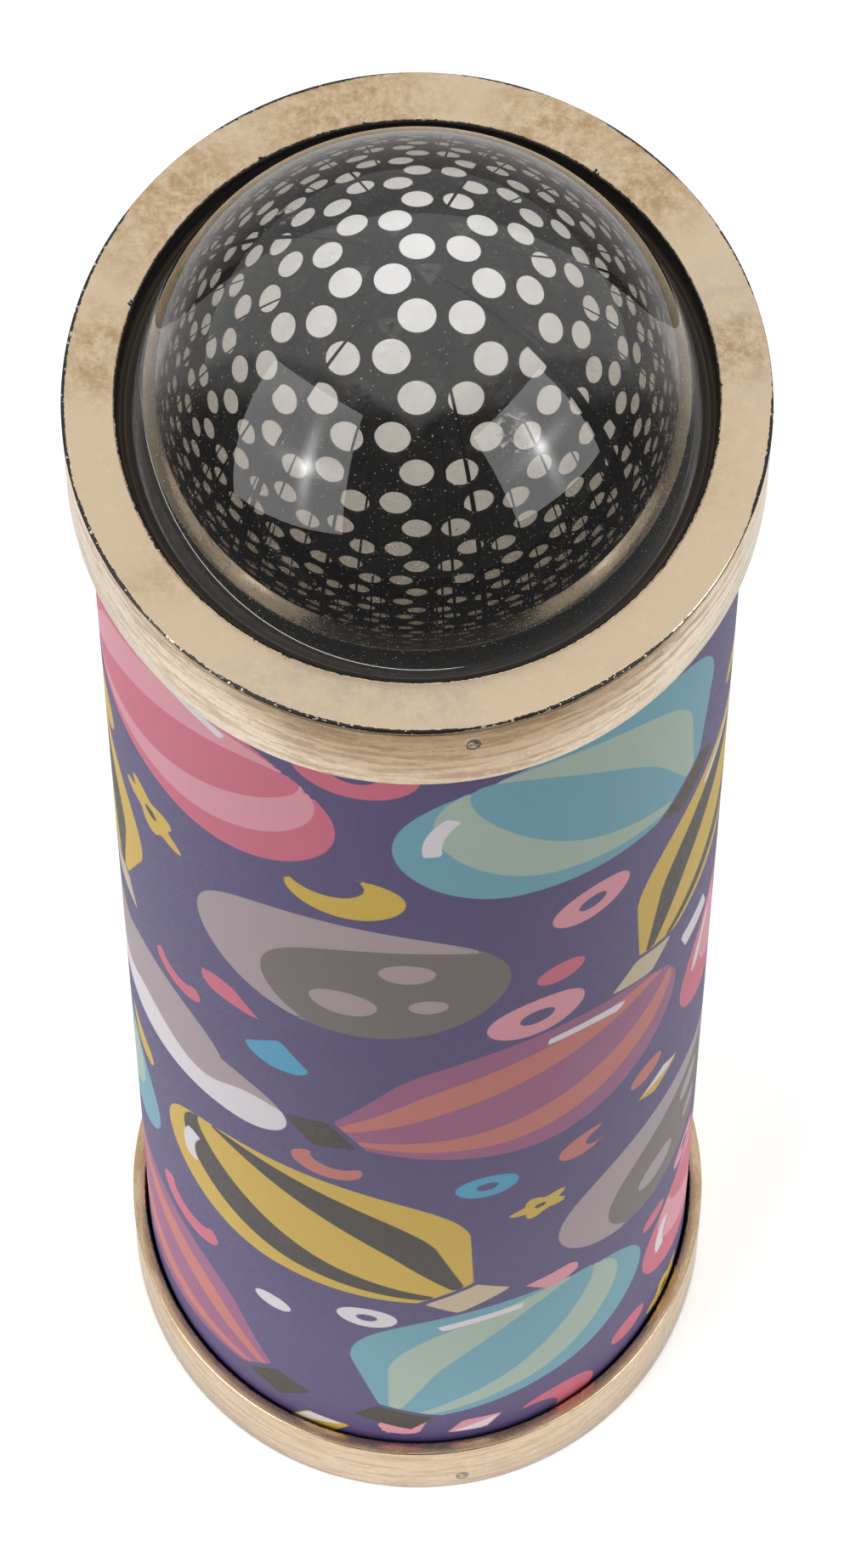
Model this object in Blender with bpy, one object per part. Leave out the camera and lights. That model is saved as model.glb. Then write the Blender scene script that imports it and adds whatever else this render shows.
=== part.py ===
"""Toy kaleidoscope with a clear ball lens: a board tube in a printed wrap, a foil-faced cap
on each end, and a three-mirror pack inside. Metres, +Z up, standing on its eyepiece cap,
with the origin at the centre of that cap's flat rim. The objective cap and the lens turn
together about +Z on the end of the tube."""
import math

import bmesh
import bpy
from mathutils import Vector

MM = 0.001

# Driving sizes of the outside.
HEIGHT_TO_CAP_FACE = 175 * MM
BARREL_RADIUS = 21.25 * MM
WRAP_THICKNESS = 0.25 * MM
WRAP_END_INSET = 1.0 * MM
TUBE_WALL = 1.0 * MM

# The two caps share one mould.
CAP_WALL = 1.05 * MM
CAP_SKIRT_HEIGHT = 9.6 * MM
CAP_LIP_WIDTH = 3.5 * MM
CAP_LIP_THICKNESS = 2.0 * MM
CAP_EDGE_BREAK = 0.2 * MM
CAP_LEAD_IN = 0.4 * MM

# Ball lens, moulded with a flange that the cap's lip holds down.
DOME_TO_BORE_GAP = 1.0 * MM
LENS_CENTRE_BELOW_FACE = 2.2 * MM
FLANGE_THICKNESS = 1.4 * MM
COLLAR_BORE_GAP = 0.4 * MM
LENS_TO_MIRROR_GAP = 0.8 * MM

# Eyepiece.
EYE_DISC_THICKNESS = 1.5 * MM
EYE_HOLE_RADIUS = 7.0 * MM
EYE_BOSS_WIDTH = 2.4 * MM
EYE_BOSS_HEIGHT = 1.2 * MM
EYE_EDGE_BREAK = 0.3 * MM
EYE_WINDOW_THICKNESS = 0.5 * MM

# Mirror pack.
MIRROR_THICKNESS = 1.0 * MM
MIRROR_EDGE_BREAK = 0.12 * MM
MIRROR_CORNER_SETBACK = 0.3 * MM
SLEEVE_WALL = 0.35 * MM
SLEEVE_FOLD_RADIUS = 2.2 * MM
SLEEVE_SEAM = 0.5 * MM
TAPE_WIDTH = 12.0 * MM
TAPE_THICKNESS = 0.12 * MM
TAPE_INSET = 9.0 * MM
PACKING_INSET = 5.0 * MM

# Clearances.
SEAT_GAP = 0.3 * MM
PASTE_GAP = 0.1 * MM
TURNING_GAP = 0.2 * MM
PACK_GAP = 0.3 * MM

# Facets.
ROUND_STEPS = 64
DOME_STEPS = 14
FOLD_STEPS = 4
PACKING_STEPS = 12
WELD_DISTANCE = 0.0001 * MM
MIRROR_COUNT = 3
FULL_TURN = 2 * math.pi
FIRST_MIRROR_ANGLE = 0.5 * FULL_TURN

# Radii, from the barrel outwards and then inwards.
CAP_CAVITY_RADIUS = BARREL_RADIUS + TURNING_GAP
CAP_OUTER_RADIUS = CAP_CAVITY_RADIUS + CAP_WALL
CAP_BORE_RADIUS = CAP_OUTER_RADIUS - CAP_LIP_WIDTH
WRAP_INNER_RADIUS = BARREL_RADIUS - WRAP_THICKNESS
TUBE_OUTER_RADIUS = WRAP_INNER_RADIUS - PASTE_GAP
TUBE_INNER_RADIUS = TUBE_OUTER_RADIUS - TUBE_WALL
SEATED_DISC_RADIUS = CAP_CAVITY_RADIUS - SEAT_GAP
LENS_RADIUS = CAP_BORE_RADIUS - DOME_TO_BORE_GAP

# Heights, from the eyepiece up.
EYE_DISC_REAR = CAP_LIP_THICKNESS + SEAT_GAP
EYE_DISC_FRONT = EYE_DISC_REAR + EYE_DISC_THICKNESS
EYE_WINDOW_REAR = EYE_DISC_FRONT + SEAT_GAP
EYE_WINDOW_FRONT = EYE_WINDOW_REAR + EYE_WINDOW_THICKNESS
TUBE_REAR = EYE_WINDOW_FRONT + SEAT_GAP

# Heights, from the objective cap's face down.
LENS_CENTRE = HEIGHT_TO_CAP_FACE - LENS_CENTRE_BELOW_FACE
FLANGE_FRONT = HEIGHT_TO_CAP_FACE - CAP_LIP_THICKNESS - SEAT_GAP
FLANGE_REAR = FLANGE_FRONT - FLANGE_THICKNESS
TUBE_FRONT = FLANGE_REAR - SEAT_GAP
PACK_FRONT = LENS_CENTRE - LENS_RADIUS - LENS_TO_MIRROR_GAP
PACK_LENGTH = PACK_FRONT - TUBE_REAR

# The mirror pack is a rounded triangle that fills the tube's bore. Each layer is given by
# the distance from the axis to its flats. A corner reaches twice that, less its fold radius.
TAPE_FOLD_RADIUS = SLEEVE_FOLD_RADIUS + PASTE_GAP + TAPE_THICKNESS
TAPE_FLAT = (TUBE_INNER_RADIUS - PACK_GAP + TAPE_FOLD_RADIUS) / 2
SLEEVE_FLAT = TAPE_FLAT - TAPE_THICKNESS - PASTE_GAP
MIRROR_BACK = SLEEVE_FLAT - SLEEVE_WALL - SEAT_GAP
MIRROR_FACE = MIRROR_BACK - MIRROR_THICKNESS
MIRROR_WIDTH = 2 * (math.sqrt(3) * MIRROR_FACE - MIRROR_CORNER_SETBACK)


def clear_scene():
    for scene_object in list(bpy.data.objects):
        bpy.data.objects.remove(scene_object, do_unlink=True)


def make_material(name, colour, roughness, metallic=0.0, transmission=0.0):
    material = bpy.data.materials.new(name)
    material.use_nodes = True
    shader = material.node_tree.nodes["Principled BSDF"]
    shader.inputs["Base Color"].default_value = (*colour, 1.0)
    shader.inputs["Roughness"].default_value = roughness
    shader.inputs["Metallic"].default_value = metallic
    shader.inputs["Transmission Weight"].default_value = transmission
    material.diffuse_color = (*colour, 1.0)
    return material


def kraft_board():
    return make_material("kraft_board", (0.42, 0.32, 0.22), 0.85)


def printed_paper():
    return make_material("printed_paper", (0.13, 0.09, 0.20), 0.45)


def foiled_plastic():
    return make_material("foiled_plastic", (0.66, 0.54, 0.39), 0.22, metallic=0.9)


def clear_plastic():
    return make_material("clear_plastic", (0.95, 0.95, 0.95), 0.03, transmission=1.0)


def black_board():
    return make_material("black_board", (0.02, 0.02, 0.02), 0.8)


def mirror_glass():
    return make_material("mirror_glass", (0.85, 0.86, 0.86), 0.03, metallic=1.0)


def black_card():
    return make_material("black_card", (0.03, 0.03, 0.03), 0.85)


def clear_tape():
    return make_material("clear_tape", (0.72, 0.66, 0.48), 0.3)


def black_foam():
    return make_material("black_foam", (0.03, 0.03, 0.03), 0.95)


def black_plastic():
    return make_material("black_plastic", (0.015, 0.015, 0.015), 0.35)


def add_object(name, mesh_work, base, material, turn=0.0, parent=None):
    """Link a finished bmesh, whose points are measured from `base`, as an object there."""
    bmesh.ops.recalc_face_normals(mesh_work, faces=mesh_work.faces)
    mesh = bpy.data.meshes.new(name)
    mesh_work.to_mesh(mesh)
    mesh_work.free()
    mesh.materials.append(material)
    mesh.shade_smooth()
    mesh.set_sharp_from_angle(angle=math.radians(30))
    new_object = bpy.data.objects.new(name, mesh)
    new_object.parent = parent
    new_object.location = Vector(base) - (parent.location if parent else Vector())
    new_object.rotation_euler = (0, 0, turn)
    bpy.context.scene.collection.objects.link(new_object)
    return new_object


def spun(profile, base_height, closed=True):
    """Turn (radius, height) points about the axis. An open profile starts and ends on it."""
    mesh_work = bmesh.new()
    points = [mesh_work.verts.new((radius, 0, height - base_height)) for radius, height in profile]
    pairs = list(zip(points, points[1:]))
    if closed:
        pairs.append((points[-1], points[0]))
    edges = [mesh_work.edges.new(pair) for pair in pairs]
    bmesh.ops.spin(mesh_work, geom=points + edges, cent=(0, 0, 0), axis=(0, 0, 1),
                   angle=FULL_TURN, steps=ROUND_STEPS, use_merge=True)
    bmesh.ops.remove_doubles(mesh_work, verts=mesh_work.verts, dist=WELD_DISTANCE)
    return mesh_work


def ring_profile(inner_radius, outer_radius, low, high):
    return [(inner_radius, low), (outer_radius, low), (outer_radius, high), (inner_radius, high)]


def arc(centre, radius, start, end, steps):
    """Points (radius, height) along an arc whose centre is on the axis."""
    angles = [start + (end - start) * step / steps for step in range(steps + 1)]
    return [(radius * math.cos(angle), centre + radius * math.sin(angle)) for angle in angles]


def cap_profile(face, inward):
    """A cup with a bored lip. Depths run from the face into the kaleidoscope."""
    depths = [
        (CAP_BORE_RADIUS + CAP_EDGE_BREAK, 0),
        (CAP_OUTER_RADIUS - CAP_EDGE_BREAK, 0),
        (CAP_OUTER_RADIUS, CAP_EDGE_BREAK),
        (CAP_OUTER_RADIUS, CAP_SKIRT_HEIGHT),
        (CAP_CAVITY_RADIUS + CAP_LEAD_IN, CAP_SKIRT_HEIGHT),
        (CAP_CAVITY_RADIUS, CAP_SKIRT_HEIGHT - CAP_LEAD_IN),
        (CAP_CAVITY_RADIUS, CAP_LIP_THICKNESS),
        (CAP_BORE_RADIUS, CAP_LIP_THICKNESS),
        (CAP_BORE_RADIUS, CAP_EDGE_BREAK),
    ]
    return [(radius, face + inward * depth) for radius, depth in depths]


def lens_profile():
    """A ball with a flange at its equator, from the front pole down to the rear one."""
    front_edge = math.asin((FLANGE_FRONT - LENS_CENTRE) / LENS_RADIUS)
    rear_edge = math.asin((FLANGE_REAR - LENS_CENTRE) / LENS_RADIUS)
    quarter_turn = FULL_TURN / 4
    front = arc(LENS_CENTRE, LENS_RADIUS, quarter_turn, front_edge, DOME_STEPS)
    rear = arc(LENS_CENTRE, LENS_RADIUS, rear_edge, -quarter_turn, DOME_STEPS)
    front[0] = (0, LENS_CENTRE + LENS_RADIUS)
    rear[-1] = (0, LENS_CENTRE - LENS_RADIUS)
    flange = [(SEATED_DISC_RADIUS, FLANGE_FRONT), (SEATED_DISC_RADIUS, FLANGE_REAR)]
    return front + flange + rear


def eye_disc_profile():
    """A flat disc with the eye hole, and a raised ring round the hole on the eye's side."""
    boss_radius = EYE_HOLE_RADIUS + EYE_BOSS_WIDTH
    boss_rear = EYE_DISC_REAR - EYE_BOSS_HEIGHT
    return [
        (EYE_HOLE_RADIUS, EYE_DISC_FRONT),
        (SEATED_DISC_RADIUS, EYE_DISC_FRONT),
        (SEATED_DISC_RADIUS, EYE_DISC_REAR),
        (boss_radius, EYE_DISC_REAR),
        (boss_radius, boss_rear + EYE_EDGE_BREAK),
        (boss_radius - EYE_EDGE_BREAK, boss_rear),
        (EYE_HOLE_RADIUS + EYE_EDGE_BREAK, boss_rear),
        (EYE_HOLE_RADIUS, boss_rear + EYE_EDGE_BREAK),
    ]


def rounded_triangle(flat, fold_radius):
    """Corner points of a triangle whose flats lie `flat` from the axis, with folded corners."""
    reach = 2 * (flat - fold_radius)
    corner_turn = FULL_TURN / MIRROR_COUNT
    outline = []
    for corner in range(MIRROR_COUNT):
        middle = FIRST_MIRROR_ANGLE + corner_turn * (corner + 0.5)
        centre = Vector((math.cos(middle), math.sin(middle))) * reach
        for step in range(FOLD_STEPS + 1):
            angle = middle + corner_turn * (step / FOLD_STEPS - 0.5)
            outline.append(centre + Vector((math.cos(angle), math.sin(angle))) * fold_radius)
    return outline


def upright_band(outer, inner, length, closed):
    """Raise the strip between two matching outlines to `length`, as a ring or an open fold."""
    mesh_work = bmesh.new()
    outer_points = [mesh_work.verts.new((point.x, point.y, 0)) for point in outer]
    inner_points = [mesh_work.verts.new((point.x, point.y, 0)) for point in inner]
    last = len(outer) if closed else len(outer) - 1
    faces = []
    for index in range(last):
        following = (index + 1) % len(outer)
        quad = (outer_points[index], outer_points[following],
                inner_points[following], inner_points[index])
        faces.append(mesh_work.faces.new(quad))
    raised = bmesh.ops.extrude_face_region(mesh_work, geom=faces, use_keep_orig=True)
    top_points = [item for item in raised["geom"] if isinstance(item, bmesh.types.BMVert)]
    bmesh.ops.translate(mesh_work, verts=top_points, vec=(0, 0, length))
    return mesh_work


def with_seam(outline, flat):
    """Open a rounded triangle at the middle of its first flat, leaving the seam's gap."""
    side = Vector((-math.sin(FIRST_MIRROR_ANGLE), math.cos(FIRST_MIRROR_ANGLE)))
    out = Vector((math.cos(FIRST_MIRROR_ANGLE), math.sin(FIRST_MIRROR_ANGLE)))
    start = out * flat + side * (SLEEVE_SEAM / 2)
    end = out * flat - side * (SLEEVE_SEAM / 2)
    return [start] + outline + [end]


def build_tube(board):
    tube = ring_profile(TUBE_INNER_RADIUS, TUBE_OUTER_RADIUS, TUBE_REAR, TUBE_FRONT)
    add_object("body_tube", spun(tube, TUBE_REAR), (0, 0, TUBE_REAR), board)


def build_wrap(paper):
    low = TUBE_REAR + WRAP_END_INSET
    high = TUBE_FRONT - WRAP_END_INSET
    wrap = ring_profile(WRAP_INNER_RADIUS, BARREL_RADIUS, low, high)
    add_object("printed_wrap", spun(wrap, low), (0, 0, low), paper)


def build_turning_end(foil, clear):
    """The objective cap and the lens, on one empty on the axis that they turn about."""
    axis = bpy.data.objects.new("objective_axis", None)
    axis.location = (0, 0, TUBE_FRONT)
    bpy.context.scene.collection.objects.link(axis)
    face = HEIGHT_TO_CAP_FACE
    add_object("objective_cap", spun(cap_profile(face, -1), face), (0, 0, face), foil, parent=axis)
    lens = spun(lens_profile(), LENS_CENTRE, closed=False)
    add_object("dome_lens", lens, (0, 0, LENS_CENTRE), clear, parent=axis)


def build_collar(board):
    rear = PACK_FRONT + SEAT_GAP
    inner_radius = LENS_RADIUS + COLLAR_BORE_GAP
    outer_radius = TUBE_INNER_RADIUS - SEAT_GAP
    collar = ring_profile(inner_radius, outer_radius, rear, TUBE_FRONT)
    add_object("front_collar", spun(collar, rear), (0, 0, rear), board)


def build_mirrors(glass):
    for index, letter in enumerate("abc"):
        turn = FIRST_MIRROR_ANGLE + FULL_TURN * index / MIRROR_COUNT
        distance = (MIRROR_FACE + MIRROR_BACK) / 2
        mesh_work = bmesh.new()
        bmesh.ops.create_cube(mesh_work, size=1)
        bmesh.ops.scale(mesh_work, vec=(MIRROR_THICKNESS, MIRROR_WIDTH, PACK_LENGTH),
                        verts=mesh_work.verts)
        bmesh.ops.bevel(mesh_work, geom=mesh_work.edges[:], offset=MIRROR_EDGE_BREAK,
                        affect="EDGES", segments=1, profile=0.5, material=-1)
        place = (distance * math.cos(turn), distance * math.sin(turn), TUBE_REAR + PACK_LENGTH / 2)
        add_object("mirror_" + letter, mesh_work, place, glass, turn=turn)


def build_sleeve(card):
    """Card folded round the three mirrors, its edges meeting along one flat."""
    inner_flat = SLEEVE_FLAT - SLEEVE_WALL
    outer = rounded_triangle(SLEEVE_FLAT, SLEEVE_FOLD_RADIUS)
    inner = rounded_triangle(inner_flat, SLEEVE_FOLD_RADIUS - SLEEVE_WALL)
    sleeve = upright_band(with_seam(outer, SLEEVE_FLAT), with_seam(inner, inner_flat),
                          PACK_LENGTH, closed=False)
    add_object("mirror_sleeve", sleeve, (0, 0, TUBE_REAR), card)


def build_tapes(tape):
    lows = {
        "sleeve_tape_rear": TUBE_REAR + TAPE_INSET,
        "sleeve_tape_front": PACK_FRONT - TAPE_INSET - TAPE_WIDTH,
    }
    outer = rounded_triangle(TAPE_FLAT, TAPE_FOLD_RADIUS)
    inner = rounded_triangle(TAPE_FLAT - TAPE_THICKNESS, TAPE_FOLD_RADIUS - TAPE_THICKNESS)
    for name, low in lows.items():
        band = upright_band(outer, inner, TAPE_WIDTH, closed=True)
        add_object(name, band, (0, 0, low), tape)


def build_packing(foam):
    """Three strips that fill the round-backed spaces between the sleeve and the tube."""
    flat = TAPE_FLAT + SEAT_GAP
    radius = TUBE_INNER_RADIUS - SEAT_GAP
    half_angle = math.acos(flat / radius)
    low = TUBE_REAR + PACKING_INSET
    length = PACK_FRONT - PACKING_INSET - low
    for index, letter in enumerate("abc"):
        mesh_work = bmesh.new()
        outline = []
        for step in range(PACKING_STEPS + 1):
            angle = half_angle * (2 * step / PACKING_STEPS - 1)
            point = (radius * math.cos(angle), radius * math.sin(angle), 0)
            outline.append(mesh_work.verts.new(point))
        section = mesh_work.faces.new(outline)
        raised = bmesh.ops.extrude_face_region(mesh_work, geom=[section], use_keep_orig=True)
        top_points = [item for item in raised["geom"] if isinstance(item, bmesh.types.BMVert)]
        bmesh.ops.translate(mesh_work, verts=top_points, vec=(0, 0, length))
        turn = FIRST_MIRROR_ANGLE + FULL_TURN * index / MIRROR_COUNT
        add_object("foam_packing_" + letter, mesh_work, (0, 0, low), foam, turn=turn)


def build_eyepiece(foil, plastic, clear):
    add_object("eyepiece_cap", spun(cap_profile(0, 1), 0), (0, 0, 0), foil)
    disc = spun(eye_disc_profile(), EYE_DISC_REAR)
    add_object("eye_disc", disc, (0, 0, EYE_DISC_REAR), plastic)
    window = bmesh.new()
    bmesh.ops.create_cone(window, cap_ends=True, segments=ROUND_STEPS, radius1=SEATED_DISC_RADIUS,
                          radius2=SEATED_DISC_RADIUS, depth=EYE_WINDOW_THICKNESS)
    middle = (EYE_WINDOW_REAR + EYE_WINDOW_FRONT) / 2
    add_object("eye_window", window, (0, 0, middle), clear)


def build_kaleidoscope():
    clear_scene()
    foil = foiled_plastic()
    clear = clear_plastic()
    build_tube(kraft_board())
    build_wrap(printed_paper())
    build_turning_end(foil, clear)
    build_collar(black_board())
    build_mirrors(mirror_glass())
    build_sleeve(black_card())
    build_tapes(clear_tape())
    build_packing(black_foam())
    build_eyepiece(foil, black_plastic(), clear)


build_kaleidoscope()
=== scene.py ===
import math
import random

import bmesh
import bpy
import numpy as np
from mathutils import Euler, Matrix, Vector


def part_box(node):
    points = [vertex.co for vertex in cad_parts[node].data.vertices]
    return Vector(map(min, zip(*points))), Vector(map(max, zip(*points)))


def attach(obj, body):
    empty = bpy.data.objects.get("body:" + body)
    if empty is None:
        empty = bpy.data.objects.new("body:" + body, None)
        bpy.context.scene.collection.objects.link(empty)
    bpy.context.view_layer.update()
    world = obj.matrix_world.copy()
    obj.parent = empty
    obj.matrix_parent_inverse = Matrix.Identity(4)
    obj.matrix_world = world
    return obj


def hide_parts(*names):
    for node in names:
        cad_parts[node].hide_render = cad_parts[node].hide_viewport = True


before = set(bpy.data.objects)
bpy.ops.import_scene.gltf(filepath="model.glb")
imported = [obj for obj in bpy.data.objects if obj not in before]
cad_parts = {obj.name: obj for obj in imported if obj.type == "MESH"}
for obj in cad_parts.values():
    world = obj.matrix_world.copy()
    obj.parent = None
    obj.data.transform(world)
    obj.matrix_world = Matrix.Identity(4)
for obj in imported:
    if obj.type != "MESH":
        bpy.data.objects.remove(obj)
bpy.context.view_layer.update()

mm = 0.001
fullTurn = 2 * math.pi

# heights and radii that the pieces share, read from the solids they replace
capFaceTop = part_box("objective_cap")[1].z
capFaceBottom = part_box("eyepiece_cap")[0].z
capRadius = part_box("objective_cap")[1].x
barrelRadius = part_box("printed_wrap")[1].x
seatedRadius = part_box("dome_lens")[1].x


def toLinear(red, green, blue):
    # 0 to 255 screen values to the linear values that the shader takes
    def one(value):
        value = value / 255
        return value / 12.92 if value <= 0.04045 else ((value + 0.055) / 1.055) ** 2.4
    return (one(red), one(green), one(blue), 1.0)


# small helpers for meshes

mergeGap = 0.0002 * mm


def finishMesh(name, work, material, body, replaced, smoothAngle=35):
    bmesh.ops.remove_doubles(work, verts=work.verts, dist=mergeGap)
    bmesh.ops.recalc_face_normals(work, faces=work.faces)
    mesh = bpy.data.meshes.new(name)
    work.to_mesh(mesh)
    work.free()
    mesh.materials.append(material)
    mesh.shade_smooth()
    mesh.set_sharp_from_angle(angle=math.radians(smoothAngle))
    piece = bpy.data.objects.new(name, mesh)
    bpy.context.scene.collection.objects.link(piece)
    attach(piece, body)
    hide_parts(*replaced)
    return piece


def closedProfile(work, corners, rounds, segments=4):
    # corners are (radius, height); rounds names a corner's fillet radius by its index
    points = [work.verts.new((radius, 0, height)) for radius, height in corners]
    work.faces.new(points)
    for index, size in rounds.items():
        bmesh.ops.bevel(work, geom=[points[index]], offset=size, affect="VERTICES",
                        segments=segments, profile=0.5, material=-1)
    bmesh.ops.delete(work, geom=work.faces[:], context="FACES_ONLY")


def spinAll(work, steps):
    bmesh.ops.spin(work, geom=work.verts[:] + work.edges[:], cent=(0, 0, 0), axis=(0, 0, 1),
                   angle=fullTurn, steps=steps, use_merge=True)


# small helpers for materials, lamps and the world

class NodeTree:
    # short calls for the nodes in use
    def __init__(self, tree):
        self.tree = tree

    def put(self, socket, value):
        # links a node's output, or sets the socket's own value
        if isinstance(value, bpy.types.NodeSocket):
            self.tree.links.new(value, socket)
        else:
            socket.default_value = value

    def add(self, kind, inputs=None, **settings):
        node = self.tree.nodes.new(kind)
        for key, value in settings.items():
            setattr(node, key, value)
        for key, value in (inputs or {}).items():
            self.put(node.inputs[key], value)
        return node

    def calc(self, operation, first, second=0.0, clamp=False):
        node = self.add("ShaderNodeMath", {0: first, 1: second}, operation=operation, use_clamp=clamp)
        return node.outputs[0]

    def plus(self, first, second):
        return self.calc("ADD", first, second)

    def minus(self, first, second, clamp=False):
        return self.calc("SUBTRACT", first, second, clamp)

    def times(self, first, second):
        return self.calc("MULTIPLY", first, second)

    def over(self, first, second):
        return self.calc("DIVIDE", first, second)

    def most(self, first, second):
        return self.calc("MAXIMUM", first, second)

    def least(self, first, second):
        return self.calc("MINIMUM", first, second)

    def squares(self, first, second):
        return self.plus(self.times(first, first), self.times(second, second))

    def length(self, first, second):
        return self.calc("SQRT", self.squares(first, second))

    def place(self, kind="Object"):
        return self.add("ShaderNodeTexCoord").outputs[kind]

    def parts(self, vector):
        return self.add("ShaderNodeSeparateXYZ", {0: vector}).outputs

    def join(self, *values):
        return self.add("ShaderNodeCombineXYZ", dict(enumerate(values))).outputs[0]

    def away(self, where, place):
        # distance from a place
        node = self.add("ShaderNodeVectorMath", {0: where, 1: place}, operation="DISTANCE")
        return node.outputs["Value"]

    def polar(self, where):
        # radius from the axis, height, and the angle round the axis from the front
        x, y, z = self.parts(where)
        return self.length(x, y), z, self.calc("ARCTAN2", x, self.times(y, -1.0))

    def noise(self, where, scale, detail=3.0, roughness=0.5, stretch=(1, 1, 1), distortion=0.0):
        mapped = self.add("ShaderNodeMapping", {"Vector": where, "Scale": stretch})
        node = self.add("ShaderNodeTexNoise", {"Vector": mapped.outputs[0], "Scale": scale,
                        "Detail": detail, "Roughness": roughness, "Distortion": distortion})
        return node.outputs["Fac"]

    def spread(self, value, low, high, toLow=0.0, toHigh=1.0, smooth=True):
        node = self.add("ShaderNodeMapRange", {"Value": value, "From Min": low, "From Max": high,
                        "To Min": toLow, "To Max": toHigh},
                        interpolation_type="SMOOTHSTEP" if smooth else "LINEAR")
        return node.outputs["Result"]

    def patches(self, where, scale, cut, give=(0.0, 1.0), **settings):
        # noise that goes from one given value to the other where it crosses the cut
        return self.spread(self.noise(where, scale, **settings), *cut, *give)

    def mix(self, share, first, second):
        return self.add("ShaderNodeMix", {0: share, 6: first, 7: second}, data_type="RGBA").outputs[2]

    def bump(self, height, strength, distance, below=None):
        inputs = {"Height": height, "Strength": strength, "Distance": distance}
        if below is not None:
            inputs["Normal"] = below
        return self.add("ShaderNodeBump", inputs).outputs["Normal"]


class Finish(NodeTree):
    # a material, whose shader is set socket by socket
    def __init__(self, name, colour, roughness, metallic=0.0, specular=0.5):
        self.material = bpy.data.materials.new(name)
        self.material.use_nodes = True
        self.material.diffuse_color = colour
        super().__init__(self.material.node_tree)
        self.shader = self.tree.nodes["Principled BSDF"]
        self.set("Base Color", colour)
        self.set("Roughness", roughness)
        self.set("Metallic", metallic)
        self.set("Specular IOR Level", specular)

    def set(self, socket, value):
        self.put(self.shader.inputs[socket], value)


# caps: black plastic under champagne-gold foil

capLook = {
    "boreRadius": 19.0 * mm,
    "cavityRadius": 21.45 * mm,
    "skirtHeight": 9.6 * mm,
    "lipThickness": 2.0 * mm,
    "outerRound": 0.2 * mm,
    "boreRound": 0.3 * mm,
    "skirtRound": 0.15 * mm,
    "insideRound": 0.3 * mm,
    "steps": 192,
    "foil": toLinear(232, 209, 177),
    "foilWornAndShade": toLinear(186, 150, 104),
    "foilGrey": toLinear(198, 188, 174),
    # colour of the painted glints
    "paintedGlintColour": toLinear(246, 230, 204),
    "plastic": toLinear(22, 19, 17),
    "chip": toLinear(214, 206, 192),
    # where the foil ends
    "boreBare": 0.16 * mm,       # bare plastic left round the bore
    "endBare": 0.12 * mm,        # bare ring inside the skirt's end
    "wellBare": 1.0 * mm,        # the bore's wall counts as so far from the foil
    "cornerBare": 0.22 * mm,     # widest bare line along the outer corner
    "cornerLeast": 0.02 * mm,
    "cornerReach": 1.3,          # chips reach so many times as far from the corner
    "cornerRub": {"scale": 110, "detail": 2, "cut": (0.32, 0.50)},
    "nicks": {"scale": 560, "detail": 4, "roughness": 0.7, "cut": (0.58, 0.72), "give": (0.0, 0.3 * mm)},
    "ragged": {"scale": 2600, "detail": 4, "roughness": 0.7},
    "raggedBy": 0.3 * mm,
    "foilEdge": 0.02 * mm,
    "chips": {"scale": 2800, "detail": 2, "cut": (0.63, 0.67)},
    "chipMetal": 0.7,
    # how the foil has worn, with painted glints and a painted shade that darkens a whole cap
    "skirtFrom": (0.3 * mm, 0.6 * mm),
    "drifts": {"scale": 48, "detail": 3, "distortion": 0.4, "cut": (0.50, 0.68), "give": (0.0, 0.6)},
    "greyDrifts": {"scale": 60, "detail": 2, "cut": (0.52, 0.66), "give": (0.0, 0.5)},
    "paintedGlints": {"scale": 1500, "detail": 4, "roughness": 0.7, "cut": (0.52, 0.75), "give": (0.0, 0.35)},
    "feathers": {"scale": 1100, "detail": 8, "roughness": 0.78},
    "featherCut": (0.36, 0.64),
    "featherSpan": (0.3, 0.7),
    "paintedShadeLeast": 0.6,            # least share of the painted shade, which lies over the whole cap
    "streaks": {"scale": 1300, "detail": 6, "roughness": 0.7, "stretch": (0.16, 1, 1)},
    "streakCut": (0.47, 0.57),
    "streakBrown": (0.0, 0.5),
    "skirtBrown": 0.3,
    "faceBrown": 0.52,           # what the face adds to the skirt's share
    "rubCore": 0.2,              # share of a rubbed place that is wholly rubbed
    "plainRough": 0.25,          # for viewers that don't read the nodes
    "foilRough": (0.15, 0.30),
    "brownRough": 0.16,
    "bareRough": 0.42,
    # relief as strength and distance
    "dents": {"scale": 240, "detail": 3},
    "dentBump": (0.22, 0.05 * mm),
    "grain": {"scale": 2400, "detail": 3},
    "grainBump": (0.25, 0.012 * mm),
    "streakBump": (0.6, 0.05 * mm),
    "edgeBump": (0.8, 0.03 * mm),
    "pitBump": (1.0, -0.08 * mm),
    # the moulding gate's scar
    "gateAt": (3.6 * mm, 2.7 * mm),     # round the skirt, and down from the face
    "gateWidth": 0.55 * mm,
    "gateTall": 1.9,             # times as tall as wide
    "gateEdge": 0.8,             # share of its width where it fades, and those of its ring
    "gateRing": (0.5, 0.7),
    "ringDark": 0.7,
    "gatePits": {"scale": 3000, "detail": 2, "cut": (0.50, 0.55)},
}


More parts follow.
